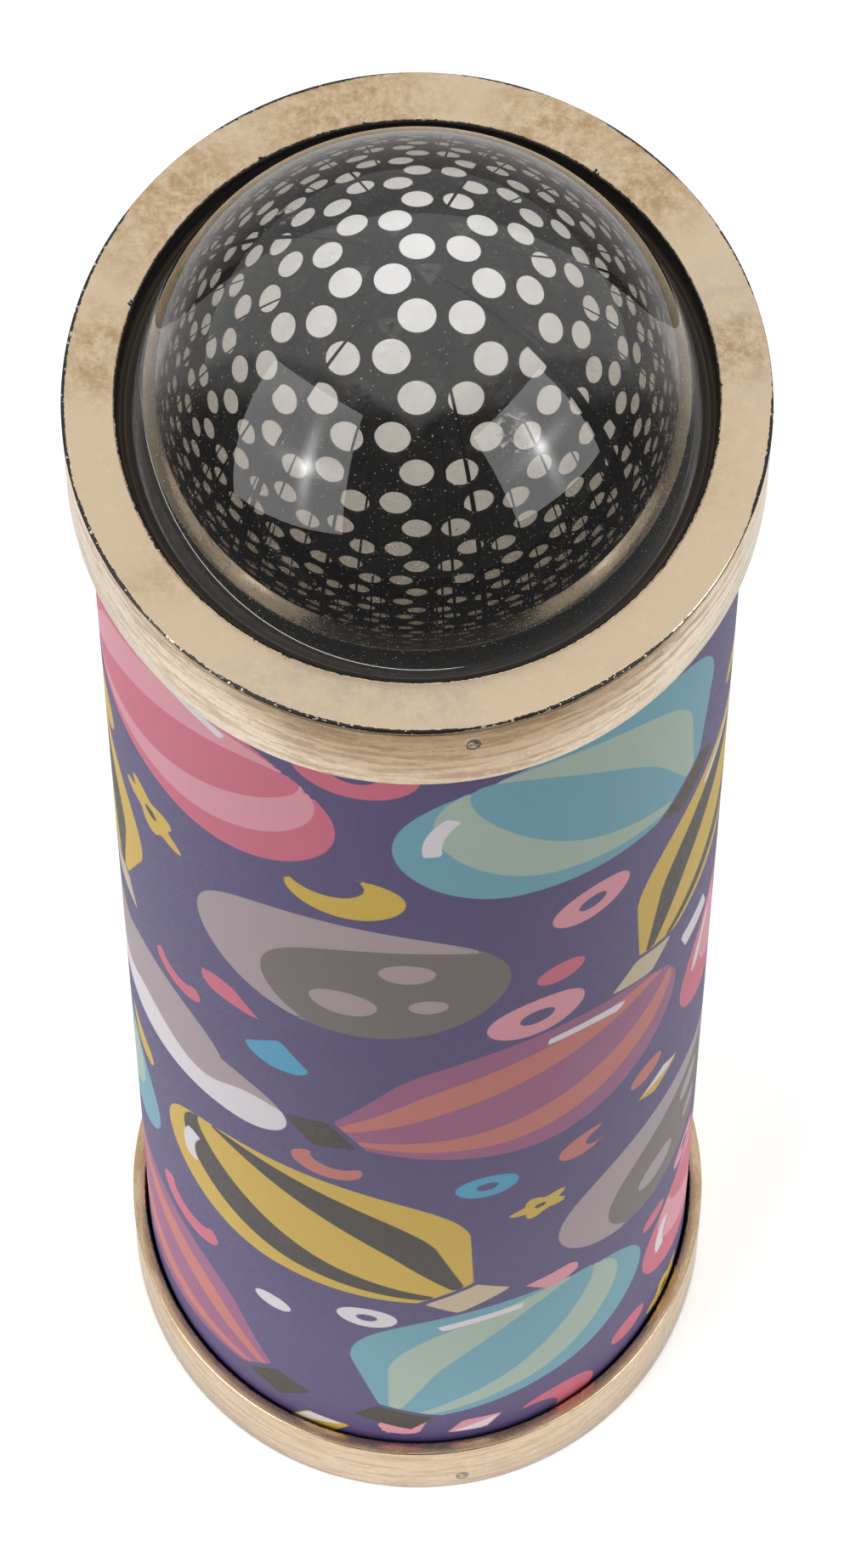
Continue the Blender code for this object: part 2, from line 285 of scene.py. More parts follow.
def foilCover(n, where, radius, depth):
    # 1 where foil is left on the plastic, 0 where it is bare; and 1 along the outer corner
    look = capLook
    ragged = n.times(n.minus(n.noise(where, **look["ragged"]), 0.5), look["raggedBy"])
    nicks = n.patches(where, **look["nicks"])
    fromBore = n.minus(n.minus(radius, look["boreRadius"] + look["boreBare"]), nicks)
    cornerDistance = n.length(n.minus(capRadius, radius), depth)
    rubbed = n.patches(where, give=(look["cornerLeast"], look["cornerBare"]), **look["cornerRub"])
    fromCorner = n.minus(cornerDistance, rubbed)
    fromCavity = n.minus(radius, look["cavityRadius"] + look["endBare"])
    onFace = n.calc("LESS_THAN", depth, look["boreRound"])
    offFace = n.times(n.minus(onFace, 1.0), look["wellBare"])
    inner = n.most(n.plus(n.times(onFace, fromBore), offFace), fromCavity)
    reach = n.plus(n.least(fromCorner, inner), ragged)
    foil = n.spread(reach, -look["foilEdge"], look["foilEdge"])
    return foil, n.calc("LESS_THAN", cornerDistance, look["cornerBare"] * look["cornerReach"])


def gateScar(n, where, around, depth):
    # 1 in the pits and ring that the moulding gate left on the skirt
    look = capLook
    width = look["gateWidth"]
    down = n.over(n.minus(depth, look["gateAt"][1]), look["gateTall"])
    distance = n.length(n.minus(around, look["gateAt"][0]), down)
    gate = n.spread(distance, width, width * look["gateEdge"])
    ring = n.times(gate, n.spread(distance, *(width * share for share in look["gateRing"])))
    pits = n.times(gate, n.patches(where, **look["gatePits"]))
    return n.most(pits, n.times(ring, look["ringDark"]))


def makeCapFoil(name, face, inward, rubs, wear):
    look = capLook
    n = Finish(name, look["foil"], look["plainRough"], metallic=1.0)
    where = n.place()
    radius, height, angle = n.polar(where)
    depth = n.times(n.minus(height, face), inward)
    around = n.times(angle, capRadius)
    foil, atCorner = foilCover(n, where, radius, depth)
    chips = n.times(atCorner, n.patches(where, **look["chips"]))
    onSkirt = n.spread(depth, *look["skirtFrom"])
    onFace = n.minus(1.0, onSkirt)
    # scuffs that turn the foil brown or grey in drifts, and fine streaks round the skirt
    drifts = n.patches(where, **look["drifts"])
    for place, size in rubs:
        drifts = n.most(drifts, n.spread(n.away(where, (*place, face)), size, size * look["rubCore"]))
    feathers = n.noise(where, **look["feathers"])
    feathered = n.spread(feathers, *look["featherCut"])
    streak = n.noise(n.join(around, height, radius), **look["streaks"])
    brown = n.times(feathered, drifts)
    brown = n.times(brown, n.plus(n.times(onFace, look["faceBrown"]), look["skirtBrown"]))
    brown = n.most(brown, n.times(onSkirt, n.spread(streak, *look["streakCut"], *look["streakBrown"])))
    grey = n.times(feathered, n.patches(where, **look["greyDrifts"]))
    colour = n.mix(n.times(grey, onFace), look["foil"], look["foilGrey"])
    colour = n.mix(brown, colour, look["foilWornAndShade"])
    # painted glints: pale specks mixed into the foil's colour
    colour = n.mix(n.patches(where, **look["paintedGlints"]), colour, look["paintedGlintColour"])
    # painted shade: the wear argument mixes the whole foil toward the worn brown, which darkens the eyepiece
    # cap; it is not real wear
    paintedShadeShare = n.spread(feathers, *look["featherSpan"], wear * look["paintedShadeLeast"], wear)
    colour = n.mix(paintedShadeShare, colour, look["foilWornAndShade"])
    bare = n.mix(chips, look["plastic"], look["chip"])
    pits = gateScar(n, where, around, depth)
    n.set("Base Color", n.mix(pits, n.mix(foil, bare, colour), look["plastic"]))
    metal = n.most(foil, n.times(chips, look["chipMetal"]))
    n.set("Metallic", n.minus(metal, pits, clamp=True))
    rough = n.spread(feathers, *look["featherSpan"], *look["foilRough"])
    rough = n.plus(rough, n.times(brown, look["brownRough"]))
    bareRough = n.times(n.minus(1.0, foil), look["bareRough"])
    n.set("Roughness", n.plus(n.times(foil, rough), bareRough))
    dents = n.bump(n.noise(where, **look["dents"]), *look["dentBump"])
    grain = n.bump(n.noise(where, **look["grain"]), *look["grainBump"], dents)
    lines = n.bump(n.times(streak, onSkirt), *look["streakBump"], grain)
    edges = n.bump(foil, *look["edgeBump"], lines)
    n.set("Normal", n.bump(pits, *look["pitBump"], edges))
    return n.material


def makeCap(name, node, body, face, inward, rubs, wear):
    look = capLook
    depths = [
        (look["boreRadius"], 0),
        (capRadius, 0),
        (capRadius, look["skirtHeight"]),
        (look["cavityRadius"], look["skirtHeight"]),
        (look["cavityRadius"], look["lipThickness"]),
        (look["boreRadius"], look["lipThickness"]),
    ]
    work = bmesh.new()
    corners = [(radius, face + inward * depth) for radius, depth in depths]
    rounds = {0: look["boreRound"], 1: look["outerRound"], 2: look["skirtRound"],
              3: look["skirtRound"], 4: look["insideRound"], 5: look["skirtRound"]}
    closedProfile(work, corners, rounds)
    spinAll(work, look["steps"])
    finish = makeCapFoil(name + "Foil", face, inward, rubs, wear)
    finishMesh(name, work, finish, body, [node])


# places on each face where fingers have rubbed the foil brown, and their radius
frontRubs = [((-15 * mm, 13 * mm), 9 * mm), ((-20 * mm, 3 * mm), 5 * mm), ((20.5 * mm, 3.5 * mm), 3.5 * mm),
             ((-5 * mm, 20 * mm), 10 * mm), ((9 * mm, 19 * mm), 7 * mm), ((14.5 * mm, 15 * mm), 6 * mm)]
rearRubs = [((14 * mm, -15 * mm), 8 * mm), ((-19 * mm, -8 * mm), 5 * mm)]
# the eyepiece cap's wear of 0.35 is painted shade that darkens all its foil; the rubs are its real wear
makeCap("objectiveCap", "objective_cap", "turning_end", capFaceTop, -1, frontRubs, wear=0.0)
makeCap("eyepieceCap", "eyepiece_cap", "barrel", capFaceBottom, 1, rearRubs, wear=0.35)
print("caps made")


# ball lens with its flange

ballRadius = 18.0 * mm
lensLook = {
    "centre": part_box("dome_lens")[1].z - ballRadius,
    "flangeFront": capFaceTop - 2.3 * mm,
    "flangeThickness": 1.4 * mm,
    "arcSteps": 72,
    "steps": 256,
    "index": 1.53,
    "tint": (0.975, 0.968, 0.956, 1.0),
    "specks": {"scale": 9000, "detail": 1, "roughness": 0.3, "cut": (0.745, 0.77)},
    "lint": {"scale": 2600, "detail": 2, "stretch": (1, 0.35, 1), "distortion": 1.2, "cut": (0.80, 0.83)},
    "dust": toLinear(190, 182, 170),
    "dustVeil": 0.75,
    "dustRough": 0.5,
    # scuffed spots on the dome: towards each from the centre, and its radius
    "scuffs": [((0.33, -0.42, 0.845), 1.7 * mm), ((-0.45, 0.42, 0.79), 1.3 * mm)],
    "scuffCore": 0.3,
    "scuffInk": toLinear(104, 96, 86),
    "scratches": {"scale": 1300, "detail": 5, "roughness": 0.8, "stretch": (0.6, 1, 1),
                  "distortion": 0.8, "cut": (0.52, 0.58)},
    "smudges": {"scale": 60, "detail": 4, "roughness": 0.6, "distortion": 0.8,
                "cut": (0.5, 0.75), "give": (0.0, 0.006)},
    # glue and rubbed foil under the cap's lip brown the flange in rings
    "flangeFrom": (ballRadius + 0.01 * mm, ballRadius + 0.04 * mm),
    "flangeInk": toLinear(44, 37, 30),
    "flangeGilt": toLinear(112, 92, 64),
    "flangeRough": 0.6,
    "rings": {"scale": 9000, "detail": 3, "cut": (0.48, 0.62)},
}
domeCentre = Vector((0, 0, lensLook["centre"]))


def makeLensFinish():
    look = lensLook
    n = Finish("polishedLens", look["tint"], 0.0)
    n.set("Transmission Weight", 1.0)
    n.set("IOR", look["index"])
    where = n.place()
    radius, height = n.polar(where)[:2]
    outside = n.calc("GREATER_THAN", height, look["flangeFront"])
    dust = n.times(n.most(n.patches(where, **look["specks"]), n.patches(where, **look["lint"])), outside)
    scratches = n.patches(where, **look["scratches"])
    scuffed = 0.0
    for towards, size in look["scuffs"]:
        spot = Vector(towards).normalized() * ballRadius + domeCentre
        core = n.spread(n.away(where, spot), size, size * look["scuffCore"])
        scuffed = n.most(scuffed, n.times(core, scratches))
    dust = n.most(dust, scuffed)
    flange = n.spread(radius, *look["flangeFrom"], smooth=False)
    rim = n.mix(n.patches(n.join(radius), **look["rings"]), look["flangeInk"], look["flangeGilt"])
    dome = n.mix(dust, look["tint"], n.mix(scuffed, look["dust"], look["scuffInk"]))
    n.set("Base Color", n.mix(flange, dome, rim))
    clear = n.minus(1.0, n.times(dust, look["dustVeil"]))
    n.set("Transmission Weight", n.times(clear, n.minus(1.0, flange)))
    rough = n.plus(n.patches(where, **look["smudges"]), n.times(dust, look["dustRough"]))
    n.set("Roughness", n.most(rough, n.times(flange, look["flangeRough"])))
    return n.material


def sweepArc(work, poleHeight, angle):
    # draws an arc from the pole towards +X, and returns its far end
    pole = work.verts.new((0, 0, poleHeight))
    swept = bmesh.ops.spin(work, geom=[pole], cent=domeCentre, axis=(0, 1, 0),
                           angle=angle, steps=lensLook["arcSteps"])
    return [item for item in swept["geom_last"] if isinstance(item, bmesh.types.BMVert)][0]


def makeLens():
    look = lensLook
    front = look["flangeFront"]
    rear = front - look["flangeThickness"]
    frontAngle = math.asin((front - look["centre"]) / ballRadius)
    rearAngle = math.asin((rear - look["centre"]) / ballRadius)
    work = bmesh.new()
    edgeFront = sweepArc(work, look["centre"] + ballRadius, fullTurn / 4 - frontAngle)
    edgeRear = sweepArc(work, look["centre"] - ballRadius, -fullTurn / 4 - rearAngle)
    rimFront = work.verts.new((seatedRadius, 0, front))
    rimRear = work.verts.new((seatedRadius, 0, rear))
    for pair in ((edgeFront, rimFront), (rimFront, rimRear), (rimRear, edgeRear)):
        work.edges.new(pair)
    spinAll(work, look["steps"])
    finishMesh("domeLens", work, makeLensFinish(), "turning_end", ["dome_lens"], 25)


makeLens()
print("lens made")


# printed wrap: satin-filmed paper with a sky print

wrapLook = {
    "thickness": 0.25 * mm,
    "columns": 264,
    "rows": 320,
    "lapWidth": 7.0,             # millimetres along the girth, like everything in the print
    "lapRise": 0.1 * mm,
    "ground": toLinear(83, 71, 124),
    "edgeSoftness": 0.07,
    "farOutside": -2.0,          # the distance where no motif is near
    "motifReach": 2.4,           # sizes from a motif's middle to where it is drawn
    # small motifs: a seed, how many, their sizes, and the room round each kind in sizes
    "seed": 11,
    "tries": 9000,
    "smallMotifs": 150,
    "smallest": 2.3,
    "boldest": 4.6,
    "largeRoom": 1.08,
    "smallRoom": 1.12,
    # film and press grain
    "coat": 0.06,
    "coatRough": 0.3,
    "twillTurns": 17.0,          # radians a millimetre, across each of two slants
    "twillSlant": 0.8,
    "twillShade": 0.03,
    "specks": {"scale": 2600, "detail": 3, "roughness": 0.7},
    "speckMiddle": 0.52,
    "speckShade": 0.2,
    "clouding": {"scale": 60, "detail": 3},
    "cloudShade": 0.06,
    "paleGrain": (0.85, 0.82, 0.88, 1.0),
    "darkGrain": (0.02, 0.018, 0.03, 1.0),
    "darkShare": -2.2,
    "speckCut": (0.3, 0.7),
    "paperRough": (0.44, 0.60),
    "speckRelief": 2.0,
    "grainBump": (0.12, 0.01 * mm),
    "waves": {"scale": 120, "detail": 2},
    "waveBump": (0.15, 0.05 * mm),
}

# inks in the order that the press lays them down, later ones on top
inks = {
    "grey": toLinear(118, 110, 108),
    "mauve": toLinear(176, 160, 166),
    "teal": toLinear(112, 172, 190),
    "pink": toLinear(216, 106, 132),
    "magenta": toLinear(160, 92, 134),
    "yellow": toLinear(220, 184, 68),
    "skyBlue": toLinear(72, 168, 208),
    "mint": toLinear(174, 196, 182),
    "coral": toLinear(206, 120, 112),
    "blush": toLinear(232, 156, 172),
    "brown": toLinear(62, 54, 46),
    "cream": toLinear(212, 194, 162),
    "white": toLinear(234, 228, 234),
}

# large motifs: kind, place round the girth and height in millimetres, size, tilt in degrees, inks
largeMotifs = [
    ("balloon", -20, 149, 12.5, -52, "pink", "blush"),
    ("balloon", 13, 147, 13.0, 34, "teal", "mint"),
    ("moon", -5, 121, 11.5, -8, "grey", "mauve"),
    ("balloon", 27, 117, 12.0, -38, "yellow", "brown"),
    ("balloon", -34, 114, 12.0, 24, "yellow", "brown"),
    ("balloon", 7, 92, 12.5, -64, "magenta", "coral"),
    ("cloud", -24, 84, 11.5, 14, "mauve", "white"),
    ("balloon", 36, 83, 12.0, 22, "pink", "blush"),
    ("balloon", -7, 59, 13.0, 42, "yellow", "brown"),
    ("moon", 22, 55, 11.0, -16, "grey", "mauve"),
    ("balloon", -37, 52, 12.0, -28, "teal", "mint"),
    ("balloon", 6, 29, 12.5, -30, "teal", "mint"),
    ("balloon", -24, 24, 12.0, 58, "magenta", "coral"),
    ("balloon", 34, 25, 12.0, 40, "pink", "blush"),
    ("cloud", 45, 148, 11.5, 12, "mauve", "white"),
    ("balloon", -53, 146, 12.0, 30, "teal", "mint"),
    ("balloon", 54, 118, 11.0, -14, "magenta", "coral"),
    ("moon", -58, 113, 9.0, -12, "grey", "mauve"),
    ("balloon", 59, 84, 9.0, 38, "teal", "mint"),
    ("balloon", -52, 80, 11.5, -36, "pink", "blush"),
    ("balloon", 52, 53, 11.5, 16, "yellow", "brown"),
    ("cloud", 60, 27, 9.5, 10, "mauve", "white"),
    ("balloon", -60, 49, 9.0, -18, "magenta", "coral"),
    ("balloon", -53, 21, 9.5, 66, "yellow", "brown"),
]
smallKinds = ["crescent", "drop", "flower", "ring", "kite", "dot"]
smallInks = ["skyBlue", "yellow", "pink", "white", "skyBlue", "yellow", "pink", "blush", "coral"]

# the motifs' outlines, in units of each one's size
balloonForm = {
    "middle": 0.22,              # height of the round part's middle, whose radius is 1
    "join": -0.35,               # height where the round part ends and the taper begins
    "foot": -1.05,
    "footHalf": 0.22,            # half the width at the foot
    "taper": 0.859,
    "narrowest": 0.05,
    "gore": (0.30, 0.68),        # the striped share of the half-width
    "basket": (-1.40, -1.10),
    "basketHalf": 0.21,
    "shineRadius": 0.80,
    "shineHalf": 0.05,
    "shineBearing": 2.35,
    "shineSpan": 0.34,
    "slope": 0.8,                # turns a width into a distance from the slanting edge
}
cloudForm = {
    "lobes": [(-0.72, -0.22, 0.46), (-0.30, 0.22, 0.58), (0.32, 0.36, 0.56), (0.76, -0.14, 0.48)],
    "fill": (0.75, 0.3, -0.32),  # half-width, half-height and height of the block between them
    "base": -0.64,
    "belly": -0.12,
    "bellyWave": 0.12,
    "bellyTurns": 6.0,
}
moonForm = {
    "shadowAt": (0.42, -0.22),
    "shadowRadius": 0.92,
    "craters": [(0.34, 0.30, 0.17), (0.05, -0.42, 0.21), (0.55, -0.28, 0.12)],
}
smallForm = {
    "biteAt": (0.62, 0.1),
    "biteRadius": 0.66,
    "dropRound": 0.5,            # the square of the drop's round part's radius
    "dropHalf": 0.707,
    "dropTip": 1.2,
    "flowerRadius": 0.78,
    "petalDepth": 0.2,
    "petals": 5,
    "flowerEye": 0.2,
    "ringRadius": 0.66,
    "ringHalf": 0.31,
    "kite": (0.76, 1.1),         # half-width and half-height
    "kiteSlope": 0.62,
    "kiteFrame": 0.06,
    "dotRadius": 0.66,
    "slope": 0.85,
}


def circleInside(x, y, centreX, centreY, radius):
    return radius - np.hypot(x - centreX, y - centreY)


def balloonShapes(x, y):
    form = balloonForm
    middle, foot, slope = form["middle"], form["foot"], form["slope"]
    # round above, drawn straight in to the throat below
    upper = np.sqrt(np.clip(1 - (y - middle) ** 2, 0, None))
    width = np.where(y > form["join"], upper, form["footHalf"] + (y - foot) * form["taper"])
    envelope = np.minimum((width - np.abs(x)) * slope, np.minimum(1 + middle - y, y - foot))
    share = np.abs(x) / np.maximum(width, form["narrowest"])
    gores = np.minimum(share - form["gore"][0], form["gore"][1] - share) * width * slope
    basket = np.minimum(y - form["basket"][0], form["basket"][1] - y)
    basket = np.minimum(form["basketHalf"] - np.abs(x), basket)
    fromRing = np.abs(np.hypot(x, y - middle) - form["shineRadius"])
    fromBearing = np.abs(np.arctan2(y - middle, x) - form["shineBearing"])
    shine = np.minimum(form["shineHalf"] - fromRing, (form["shineSpan"] - fromBearing) * slope)
    return envelope, np.minimum(envelope, gores), basket, shine


def cloudShapes(x, y):
    form = cloudForm
    halfWidth, halfHeight, fillAt = form["fill"]
    body = np.minimum(halfWidth - np.abs(x), halfHeight - np.abs(y - fillAt))
    for lobe in form["lobes"]:
        body = np.maximum(body, circleInside(x, y, *lobe))
    body = np.minimum(body, y - form["base"])
    wave = form["bellyWave"] * np.cos(x * form["bellyTurns"])
    return body, np.minimum(body, form["belly"] - y + wave)


def moonShapes(x, y):
    disc = circleInside(x, y, 0, 0, 1)
    part = np.minimum(disc, -circleInside(x, y, *moonForm["shadowAt"], moonForm["shadowRadius"]))
    for crater in moonForm["craters"]:
        part = np.maximum(part, circleInside(x, y, *crater))
    return disc, part


def smallShape(kind, x, y):
    # distance inside the motif, and inside its second ink where it has one
    form = smallForm
    distance = np.hypot(x, y)
    if kind == "crescent":
        return np.minimum(1 - distance, -circleInside(x, y, *form["biteAt"], form["biteRadius"])), None
    if kind == "drop":
        rounded = np.sqrt(np.clip(form["dropRound"] - y * y, 0, None))
        width = np.where(y < 0, rounded, form["dropHalf"] * (1 - y / form["dropTip"]))
        return (width - np.abs(x)) * form["slope"], None
    if kind == "flower":
        petals = form["petalDepth"] * np.cos(form["petals"] * np.arctan2(y, x))
        return (form["flowerRadius"] + petals - distance) * form["slope"], form["flowerEye"] - distance
    if kind == "ring":
        return form["ringHalf"] - np.abs(distance - form["ringRadius"]), None
    if kind == "kite":
        halfWidth, halfHeight = form["kite"]
        body = (1 - np.abs(x) / halfWidth - np.abs(y) / halfHeight) * form["kiteSlope"]
        return body, np.minimum(body - form["kiteFrame"], -x)
    return form["dotRadius"] - distance, None


class SheetPrint:
    # the sheet's points with their signed distance inside each ink, in millimetres
    def __init__(self, arc, height, girth):
        self.arc = arc
        self.height = height
        self.girth = girth
        self.layers = {ink: np.full(arc.shape, wrapLook["farOutside"]) for ink in inks}

    def alongGirth(self, distance):
        # the shorter way round
        return (distance + self.girth / 2) % self.girth - self.girth / 2

    def local(self, centreArc, centreHeight, size, tilt):
        # the points near a motif in its own units
        dx = self.alongGirth(self.arc - centreArc)
        dy = self.height - centreHeight
        turn = math.radians(tilt)
        x = (dx * math.cos(turn) + dy * math.sin(turn)) / size
        y = (dy * math.cos(turn) - dx * math.sin(turn)) / size
        near = np.hypot(x, y) < wrapLook["motifReach"]
        return x[near], y[near], near

    def lay(self, ink, near, inside, size):
        layer = self.layers[ink]
        layer[near] = np.maximum(layer[near], inside * size)

    def layLarge(self):
        for kind, centreArc, centreHeight, size, tilt, first, second in largeMotifs:
            x, y, near = self.local(centreArc, centreHeight, size, tilt)
            if kind == "balloon":
                envelope, gores, basket, shine = balloonShapes(x, y)
                self.lay(first, near, envelope, size)
                self.lay(second, near, gores, size)
                self.lay("brown" if second != "brown" else "cream", near, basket, size)
                self.lay("white", near, shine, size)
            else:
                body, part = cloudShapes(x, y) if kind == "cloud" else moonShapes(x, y)
                self.lay(first, near, body, size)
                self.lay(second, near, part, size)

    def laySmall(self):
        # small motifs drop where the others leave room
        look = wrapLook
        chance = random.Random(look["seed"])
        low, high = self.height.min(), self.height.max()
        kept = [(item[1], item[2], item[3] * look["largeRoom"]) for item in largeMotifs]
        for attempt in range(look["tries"]):
            if len(kept) >= len(largeMotifs) + look["smallMotifs"]:
                break
            size = chance.uniform(look["smallest"], look["boldest"])
            centreArc = chance.uniform(-self.girth / 2, self.girth / 2)
            centreHeight = chance.uniform(low + size, high - size)
            room = size * look["smallRoom"]
            gaps = [math.hypot(self.alongGirth(centreArc - otherArc), centreHeight - otherHeight) - otherRoom
                    for otherArc, otherHeight, otherRoom in kept]
            if min(gaps) <= room:
                continue
            kept.append((centreArc, centreHeight, room))
            kind = chance.choice(smallKinds)
            ink = chance.choice(smallInks)
            x, y, near = self.local(centreArc, centreHeight, size, chance.uniform(0, 360))
            body, middle = smallShape(kind, x, y)
            self.lay(ink, near, body, size)
            if middle is not None:
                self.lay("brown" if kind == "flower" else "white", near, middle, size)


def makePrintFinish():
    look = wrapLook
    n = Finish("printedPaper", look["ground"], 0.5, specular=0.2)
    n.set("Coat Weight", look["coat"])
    n.set("Coat Roughness", look["coatRough"])
    colour = look["ground"]
    for ink, value in inks.items():
        inside = n.add("ShaderNodeAttribute", attribute_name="ink_" + ink).outputs["Fac"]
        colour = n.mix(n.spread(inside, -look["edgeSoftness"], look["edgeSoftness"]), colour, value)
    # press grain: a fine slanting twill and paper speckle
    where = n.place()
    along, up = n.parts(n.add("ShaderNodeUVMap", uv_map="printSheet").outputs[0])[:2]
    rise = n.times(up, look["twillSlant"])
    slants = (n.plus(along, rise), n.minus(along, rise))
    twill = n.times(*(n.calc("SINE", n.times(slant, look["twillTurns"])) for slant in slants))
    speck = n.noise(where, **look["specks"])
    shade = n.plus(n.times(twill, look["twillShade"]),
                   n.times(n.minus(speck, look["speckMiddle"]), look["speckShade"]))
    clouding = n.minus(n.noise(where, **look["clouding"]), 0.5)
    shade = n.plus(shade, n.times(clouding, look["cloudShade"]))
    lighter = n.mix(n.most(shade, 0.0), colour, look["paleGrain"])
    darker = n.mix(n.times(n.least(shade, 0.0), look["darkShare"]), lighter, look["darkGrain"])
    n.set("Base Color", darker)
    n.set("Roughness", n.spread(speck, *look["speckCut"], *look["paperRough"]))
    waves = n.bump(n.noise(where, **look["waves"]), *look["waveBump"])
    grain = n.plus(twill, n.times(speck, look["speckRelief"]))
    n.set("Normal", n.bump(grain, *look["grainBump"], waves))
    return n.material


def makeWrap():
    look = wrapLook
    low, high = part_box("printed_wrap")[0].z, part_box("printed_wrap")[1].z
    inner = barrelRadius - look["thickness"]
    work = bmesh.new()
    corners = [(inner, low), (barrelRadius, low), (barrelRadius, high), (inner, high)]
    points = [work.verts.new((radius, 0, height)) for radius, height in corners]
    edges = [work.edges.new((points[i], points[(i + 1) % 4])) for i in range(4)]
    bmesh.ops.subdivide_edges(work, edges=[edges[1]], cuts=look["rows"] - 1)
    spinAll(work, look["columns"])
    bmesh.ops.rotate(work, cent=(0, 0, 0), matrix=Euler((0, 0, fullTurn / 4)).to_matrix(), verts=work.verts)
    girthMm = fullTurn * barrelRadius / mm
    # the sheet's free edge laps over its start at the back
    for vert in work.verts:
        arc = math.atan2(vert.co.x, -vert.co.y) * barrelRadius / mm
        if vert.co.to_2d().length > inner + look["thickness"] / 2 and arc > girthMm / 2 - look["lapWidth"]:
            vert.co.xy *= (barrelRadius + look["lapRise"]) / barrelRadius
    finish = makePrintFinish()
    piece = finishMesh("printedWrap", work, finish, "barrel", ["printed_wrap"], 30)
    mesh = piece.data
    places = np.empty(len(mesh.vertices) * 3)
    mesh.vertices.foreach_get("co", places)
    places = places.reshape(-1, 3)
    arc = np.arctan2(places[:, 0], -places[:, 1]) * barrelRadius / mm
    height = places[:, 2] / mm
    sheet = SheetPrint(arc, height, girthMm)
    sheet.layLarge()
    sheet.laySmall()
    for ink, inside in sheet.layers.items():
        layer = mesh.attributes.new("ink_" + ink, "FLOAT", "POINT")
        layer.data.foreach_set("value", inside.astype(np.float32))
    unrolled = mesh.uv_layers.new(name="printSheet")
    for polygon in mesh.polygons:
        arcs = [arc[index] for index in polygon.vertices]
        crosses = max(arcs) - min(arcs) > girthMm / 2
        for loop, index, along in zip(polygon.loop_indices, polygon.vertices, arcs):
            unrolled.data[loop].uv = (along + girthMm if crosses and along < 0 else along, height[index])


makeWrap()
print("wrap printed")


# what shows through the lens and the eye hole

insideLook = {
    "collarWall": 1.2 * mm,
    "collarRound": 0.15 * mm,
    "collarSegments": 2,
    "discThickness": 1.5 * mm,
    "eyeHole": 7.0 * mm,
    "bossWidth": 2.4 * mm,
    "discRound": 0.3 * mm,
    "steps": 160,
}
boardLook = {
    "specular": 0.12,
    "fibres": {"detail": 6, "roughness": 0.7, "stretch": (1, 1, 0.35)},
    "speckFiner": 5,             # times as fine as the fibres
    "specks": {"detail": 2},
    "cut": (0.3, 0.7),
    "roughSpread": 0.1,
    "speckRelief": 0.5,
    "bump": (0.5, 0.05 * mm),
}
mirrorLook = {
    "facing": (180, 300, 60),    # degrees round the axis, from which each strip looks inward
    "faceDistance": -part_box("mirror_a")[1].x,
    "coatDepth": 0.05 * mm,
    "glass": toLinear(16, 17, 17),
    "silver": toLinear(244, 243, 241),
    "silverDull": toLinear(239, 237, 235),
    "dust": toLinear(120, 116, 110),
    "dusting": {"scale": 2400, "detail": 1, "cut": (0.82, 0.85)},
    "dustRough": 0.5,
    "haze": {"scale": 90, "detail": 5, "roughness": 0.7},
    "hazeCut": (0.5, 0.8),
    "hazeRough": (0.0, 0.006),
    "glassRough": 0.45,
}
plasticLook = {
    "grain": {"detail": 3, "roughness": 0.6},
    "wearCoarser": 0.08,         # the wear's scale, as a share of the grain's
    "wear": {"detail": 4},
    "wearCut": (0.4, 0.8),
    "roughCut": (0.3, 0.7),
    "roughLess": 0.06,
    "roughMore": 0.12,
    "lighter": 1.7,
    "lift": 0.004,
    "bump": (0.35, 0.02 * mm),
}
filmLook = {
    "index": 1.49,
    "haze": {"scale": 140, "detail": 4, "roughness": 0.6},
    "weightCut": (0.3, 0.8),
    "roughCut": (0.4, 0.8),
    "hazeBy": 0.04,              # what haze takes from the clearness and adds to the roughness
    "hazeTint": 0.94,
}


def makeBoard(name, colour, dark, roughness, scale):
    look = boardLook
    n = Finish(name, colour, roughness, specular=look["specular"])
    where = n.place()
    fibre = n.noise(where, scale, **look["fibres"])
    speck = n.noise(where, scale * look["speckFiner"], **look["specks"])
    n.set("Base Color", n.mix(n.spread(fibre, *look["cut"]), dark, colour))
    rougher = min(roughness + look["roughSpread"], 1.0)
    n.set("Roughness", n.spread(speck, *look["cut"], roughness - look["roughSpread"], rougher))
    n.set("Normal", n.bump(n.plus(fibre, n.times(speck, look["speckRelief"])), *look["bump"]))
    return n.material


def makeMirrorFinish():
    look = mirrorLook
    n = Finish("mirrorCoat", look["glass"], 0.01)
    where = n.place()
    haze = n.noise(where, **look["haze"])
    dust = n.patches(where, **look["dusting"])
    # the coat covers only the faces that look at the axis; edges and backs are painted dark
    x, y = n.parts(where)[:2]
    reach = -1.0
    for degrees in look["facing"]:
        turn = math.radians(degrees)
        along = n.plus(n.times(x, math.cos(turn)), n.times(y, math.sin(turn)))
        reach = n.most(along, reach)
    coat = n.calc("LESS_THAN", reach, look["faceDistance"] + look["coatDepth"])
    silver = n.mix(dust, n.mix(haze, look["silverDull"], look["silver"]), look["dust"])
    n.set("Base Color", n.mix(coat, look["glass"], silver))
    n.set("Metallic", coat)
    rough = n.plus(n.spread(haze, *look["hazeCut"], *look["hazeRough"]), n.times(dust, look["dustRough"]))
    n.set("Roughness", n.most(rough, n.times(n.minus(1.0, coat), look["glassRough"])))
    return n.material


def makePlastic(name, colour, roughness, scale):
    look = plasticLook
    n = Finish(name, colour, roughness)
    where = n.place()
    grain = n.noise(where, scale, **look["grain"])
    wear = n.noise(where, scale * look["wearCoarser"], **look["wear"])
    light = tuple(min(1.0, part * look["lighter"] + look["lift"]) for part in colour[:3]) + (1.0,)
    n.set("Base Color", n.mix(n.spread(wear, *look["wearCut"]), colour, light))
    rough = n.spread(wear, *look["roughCut"], roughness - look["roughLess"], roughness + look["roughMore"])
    n.set("Roughness", rough)
    n.set("Normal", n.bump(grain, *look["bump"]))
    return n.material


